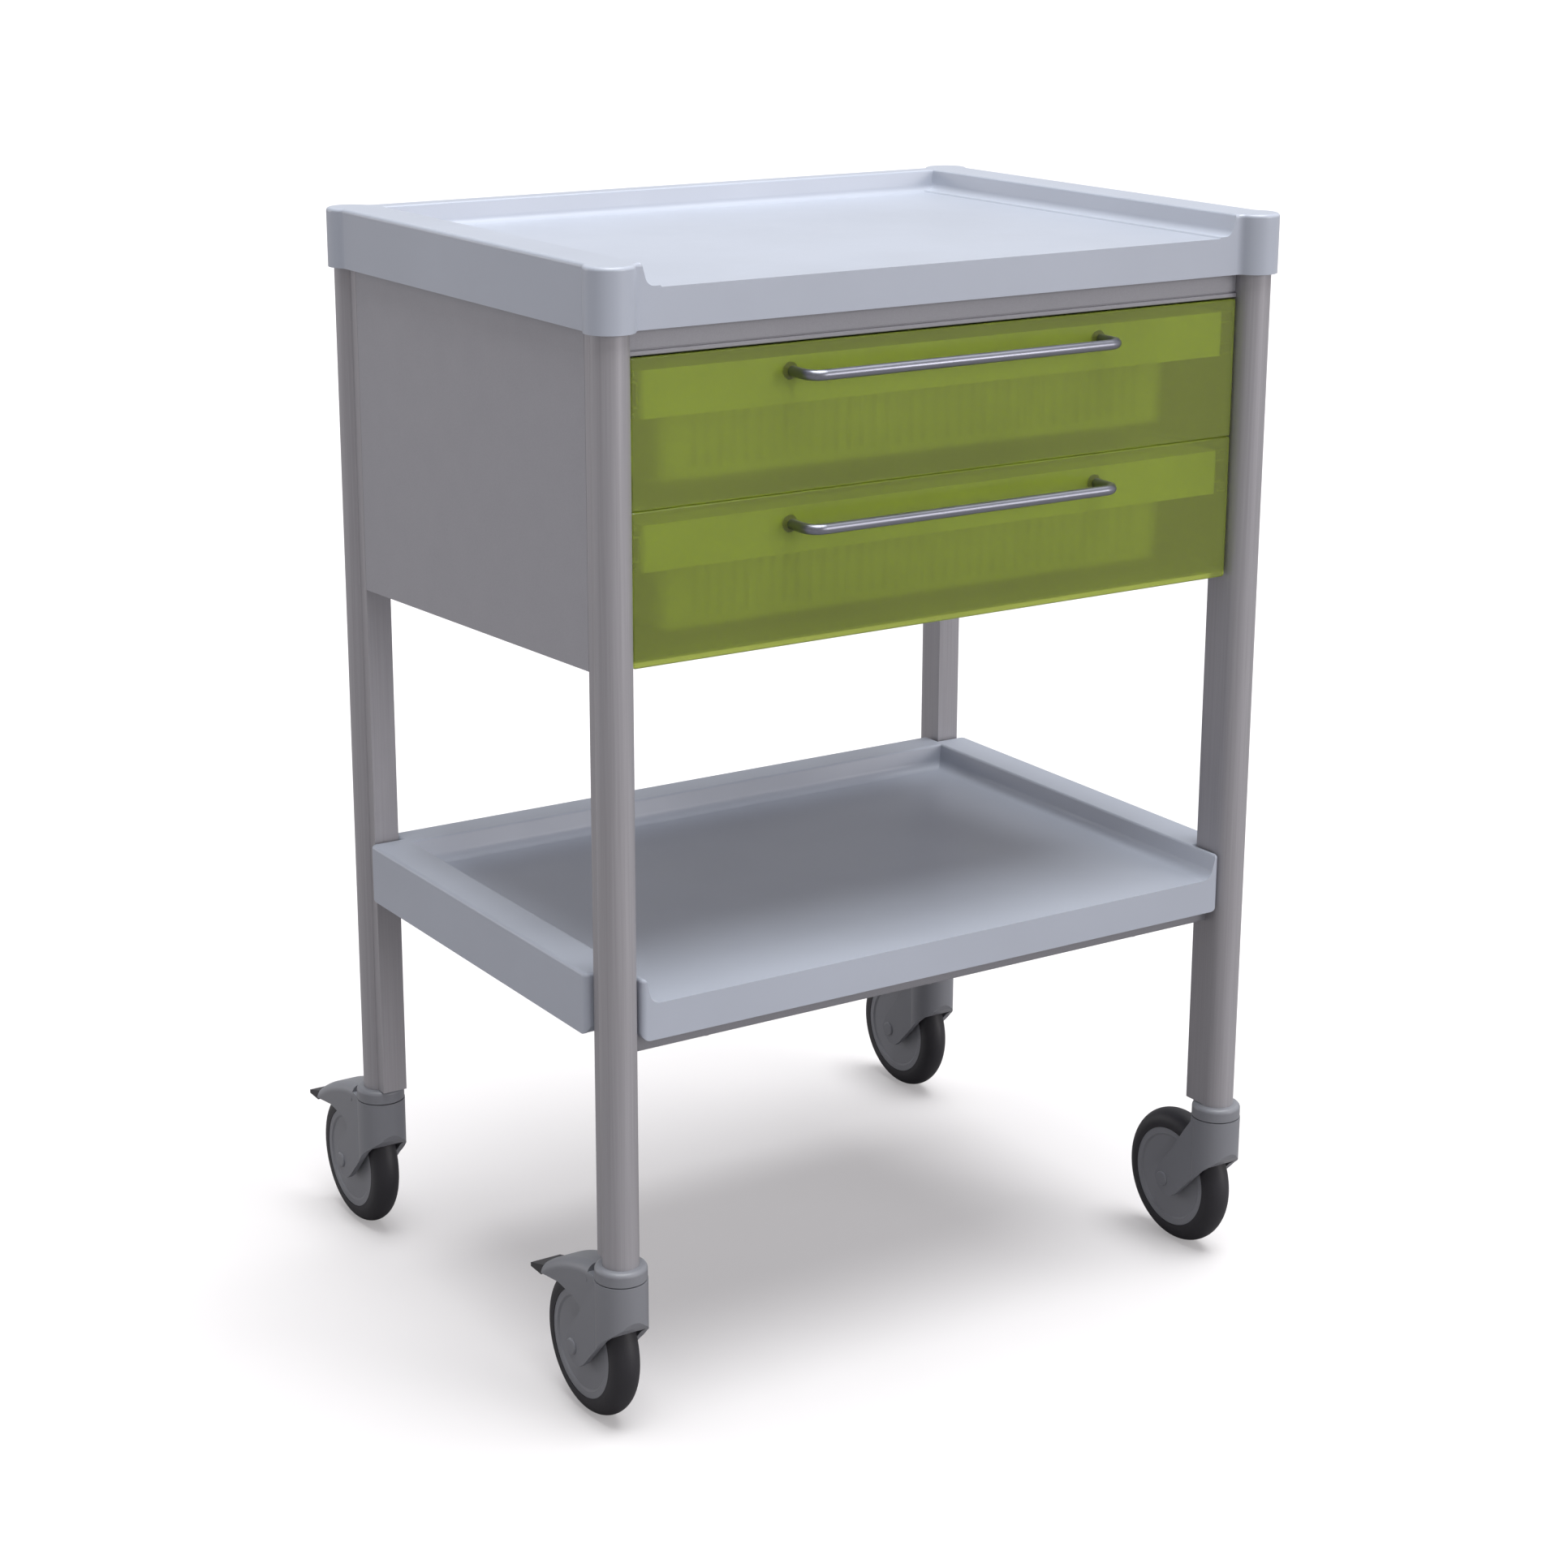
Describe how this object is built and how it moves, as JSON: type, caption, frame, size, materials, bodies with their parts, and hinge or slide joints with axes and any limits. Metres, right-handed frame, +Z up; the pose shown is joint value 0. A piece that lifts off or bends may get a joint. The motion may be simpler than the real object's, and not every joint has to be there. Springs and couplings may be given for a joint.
{
  "type": "bedside trolley",
  "caption": "Bedside trolley with a rimmed top tray, translucent drawers on runners, an open lower shelf and swivel castors, some with foot brakes.",
  "frame": {"origin": "on the floor, midway between the four castor swivel axes", "axes": "+Z up, the drawers open towards -Y, +X is the trolley's side on the right when facing +Y"},
  "size_m": [0.667, 0.6022, 0.95],
  "materials": {
    "tray_plastic": "satin moulded",
    "post_aluminium": "satin silver coating",
    "panel_paint": "satin powder coat",
    "shelf_plastic": "satin moulded",
    "rail_paint": "satin powder coat",
    "front_acrylic": "frosted translucent",
    "liner_plastic": "translucent moulded",
    "handle_steel": "brushed",
    "screw_steel": "zinc plated",
    "runner_steel": "zinc plated",
    "castor_plastic": "fine grain",
    "stem_steel": "zinc plated",
    "axle_steel": "zinc plated",
    "wheel_plastic": "fine grain",
    "tyre_rubber": "satin",
    "pedal_plastic": "fine grain",
    "pad_rubber": "matt"
  },
  "bodies": {
    "trolley_frame": {"top_tray": "tray_plastic", "post_front_left": "post_aluminium", "post_front_right": "post_aluminium", "post_rear_left": "post_aluminium", "post_rear_right": "post_aluminium", "side_panel_left": "panel_paint", "side_panel_right": "panel_paint", "back_panel": "panel_paint", "front_fascia": "panel_paint", "cabinet_floor": "panel_paint", "lower_shelf": "shelf_plastic", "shelf_rail_front": "rail_paint", "shelf_rail_rear": "rail_paint", "panel_screws": "screw_steel", "tray_screws": "screw_steel", "shelf_screws": "screw_steel", "runner_outer_upper_left": "runner_steel", "runner_outer_upper_right": "runner_steel", "runner_outer_lower_left": "runner_steel", "runner_outer_lower_right": "runner_steel", "castor_collar_front_left": "castor_plastic", "castor_collar_front_right": "castor_plastic", "castor_collar_rear_left": "castor_plastic", "castor_collar_rear_right": "castor_plastic", "castor_stems": "stem_steel", "swivel_bearings": "stem_steel"},
    "drawer_upper": {"drawer_front_upper": "front_acrylic", "drawer_liner_upper": "liner_plastic", "drawer_handle_upper": "handle_steel", "handle_screws_upper": "screw_steel", "runner_inner_upper_left": "runner_steel", "runner_inner_upper_right": "runner_steel"},
    "drawer_lower": {"drawer_front_lower": "front_acrylic", "drawer_liner_lower": "liner_plastic", "drawer_handle_lower": "handle_steel", "handle_screws_lower": "screw_steel", "runner_inner_lower_left": "runner_steel", "runner_inner_lower_right": "runner_steel"},
    "castor_front_left": {"castor_fork_front_left": "castor_plastic", "wheel_axle_front_left": "axle_steel", "brake_pin_front_left": "axle_steel"},
    "wheel_front_left": {"wheel_core_front_left": "wheel_plastic", "wheel_tyre_front_left": "tyre_rubber"},
    "brake_front_left": {"brake_pedal_front_left": "pedal_plastic", "brake_pad_front_left": "pad_rubber"},
    "castor_front_right": {"castor_fork_front_right": "castor_plastic", "wheel_axle_front_right": "axle_steel"},
    "wheel_front_right": {"wheel_core_front_right": "wheel_plastic", "wheel_tyre_front_right": "tyre_rubber"},
    "castor_rear_left": {"castor_fork_rear_left": "castor_plastic", "wheel_axle_rear_left": "axle_steel", "brake_pin_rear_left": "axle_steel"},
    "wheel_rear_left": {"wheel_core_rear_left": "wheel_plastic", "wheel_tyre_rear_left": "tyre_rubber"},
    "brake_rear_left": {"brake_pedal_rear_left": "pedal_plastic", "brake_pad_rear_left": "pad_rubber"},
    "castor_rear_right": {"castor_fork_rear_right": "castor_plastic", "wheel_axle_rear_right": "axle_steel"},
    "wheel_rear_right": {"wheel_core_rear_right": "wheel_plastic", "wheel_tyre_rear_right": "tyre_rubber"}
  },
  "joints": [
    {"name": "drawer_upper_slide", "type": "slide", "parent": "trolley_frame", "child": "drawer_upper", "axis": [0, -1, 0], "range_m": [0, 0.3]},
    {"name": "drawer_lower_slide", "type": "slide", "parent": "trolley_frame", "child": "drawer_lower", "axis": [0, -1, 0], "range_m": [0, 0.3]},
    {"name": "castor_front_left_swivel", "type": "hinge", "parent": "trolley_frame", "child": "castor_front_left", "pos_m": [-0.311, -0.221, 0.1372], "axis": [0, 0, 1], "continuous": true},
    {"name": "wheel_front_left_roll", "type": "hinge", "parent": "castor_front_left", "child": "wheel_front_left", "pos_m": [-0.311, -0.175, 0.0625], "axis": [1, 0, 0], "continuous": true},
    {"name": "brake_front_left_press", "type": "hinge", "parent": "castor_front_left", "child": "brake_front_left", "pos_m": [-0.311, -0.194, 0.13], "axis": [-1, 0, 0], "range_deg": [0, 2.5]},
    {"name": "castor_front_right_swivel", "type": "hinge", "parent": "trolley_frame", "child": "castor_front_right", "pos_m": [0.311, -0.221, 0.1372], "axis": [0, 0, 1], "continuous": true},
    {"name": "wheel_front_right_roll", "type": "hinge", "parent": "castor_front_right", "child": "wheel_front_right", "pos_m": [0.311, -0.175, 0.0625], "axis": [1, 0, 0], "continuous": true},
    {"name": "castor_rear_left_swivel", "type": "hinge", "parent": "trolley_frame", "child": "castor_rear_left", "pos_m": [-0.311, 0.221, 0.1372], "axis": [0, 0, 1], "continuous": true},
    {"name": "wheel_rear_left_roll", "type": "hinge", "parent": "castor_rear_left", "child": "wheel_rear_left", "pos_m": [-0.311, 0.267, 0.0625], "axis": [1, 0, 0], "continuous": true},
    {"name": "brake_rear_left_press", "type": "hinge", "parent": "castor_rear_left", "child": "brake_rear_left", "pos_m": [-0.311, 0.248, 0.13], "axis": [-1, 0, 0], "range_deg": [0, 2.5]},
    {"name": "castor_rear_right_swivel", "type": "hinge", "parent": "trolley_frame", "child": "castor_rear_right", "pos_m": [0.311, 0.221, 0.1372], "axis": [0, 0, 1], "continuous": true},
    {"name": "wheel_rear_right_roll", "type": "hinge", "parent": "castor_rear_right", "child": "wheel_rear_right", "pos_m": [0.311, 0.267, 0.0625], "axis": [1, 0, 0], "continuous": true}
  ]
}
